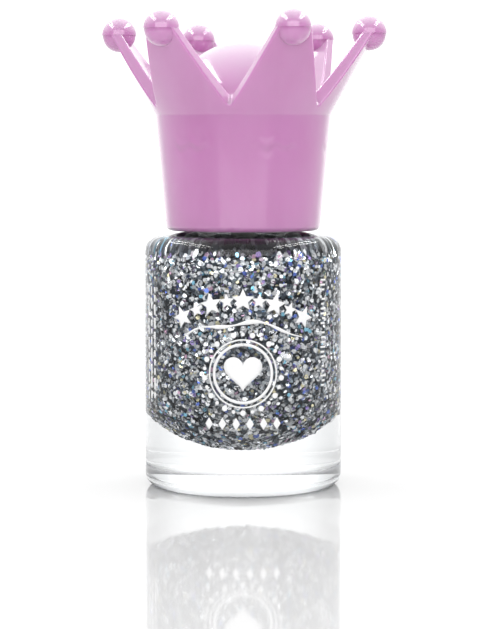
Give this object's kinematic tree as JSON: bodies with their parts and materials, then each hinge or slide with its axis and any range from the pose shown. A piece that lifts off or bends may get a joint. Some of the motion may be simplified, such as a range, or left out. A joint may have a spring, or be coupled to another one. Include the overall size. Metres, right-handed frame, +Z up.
{
  "type": "nail polish bottle",
  "caption": "Small round glass nail polish bottle with a crown-shaped screw cap that carries the brush, filled with silver glitter polish.",
  "frame": {"origin": "centre of the bottle's foot, on the surface it stands on", "axes": "+Z up along the bottle's axis, -Y towards the printed front, +X to the front's right"},
  "size_m": [0.0374, 0.0352, 0.0616],
  "materials": {
    "clear_glass": "polished, clear",
    "glitter_polish": "wet, full of small silver and rainbow flakes",
    "pink_plastic": "high gloss, slightly milky",
    "white_plastic": "satin, as moulded",
    "natural_plastic": "satin, waxy",
    "seal_foam": "matt, soft",
    "nylon_bristle": "fine parallel filaments",
    "staple_steel": "cut strip",
    "ball_steel": "polished balls"
  },
  "bodies": {
    "bottle": {"glass_bottle": "clear_glass", "nail_polish": "glitter_polish", "mixing_ball_1": "ball_steel", "mixing_ball_2": "ball_steel"},
    "liner": {"lip_seal": "seal_foam"},
    "brush": {"brush_stem": "natural_plastic", "bristle_tuft": "nylon_bristle", "tuft_anchor": "staple_steel"},
    "cap": {"inner_cap": "white_plastic", "crown_cap": "pink_plastic"}
  },
  "joints": [
    {"name": "lift_out", "type": "slide", "parent": "bottle", "child": "liner", "axis": [0, 0, 1], "range_m": [0, 0.042]},
    {"name": "cap_rise", "type": "slide", "parent": "liner", "child": "brush", "axis": [0, 0, 1], "range_m": [0, 0.0032]},
    {"name": "cap_turn", "type": "hinge", "parent": "brush", "child": "cap", "pos_m": [0, 0, 0], "axis": [0, 0, 1], "range_deg": [0, 540]}
  ],
  "couplings": [
    {"joint": "cap_rise", "follows": "cap_turn", "m_per_rad": 0.00033741}
  ]
}
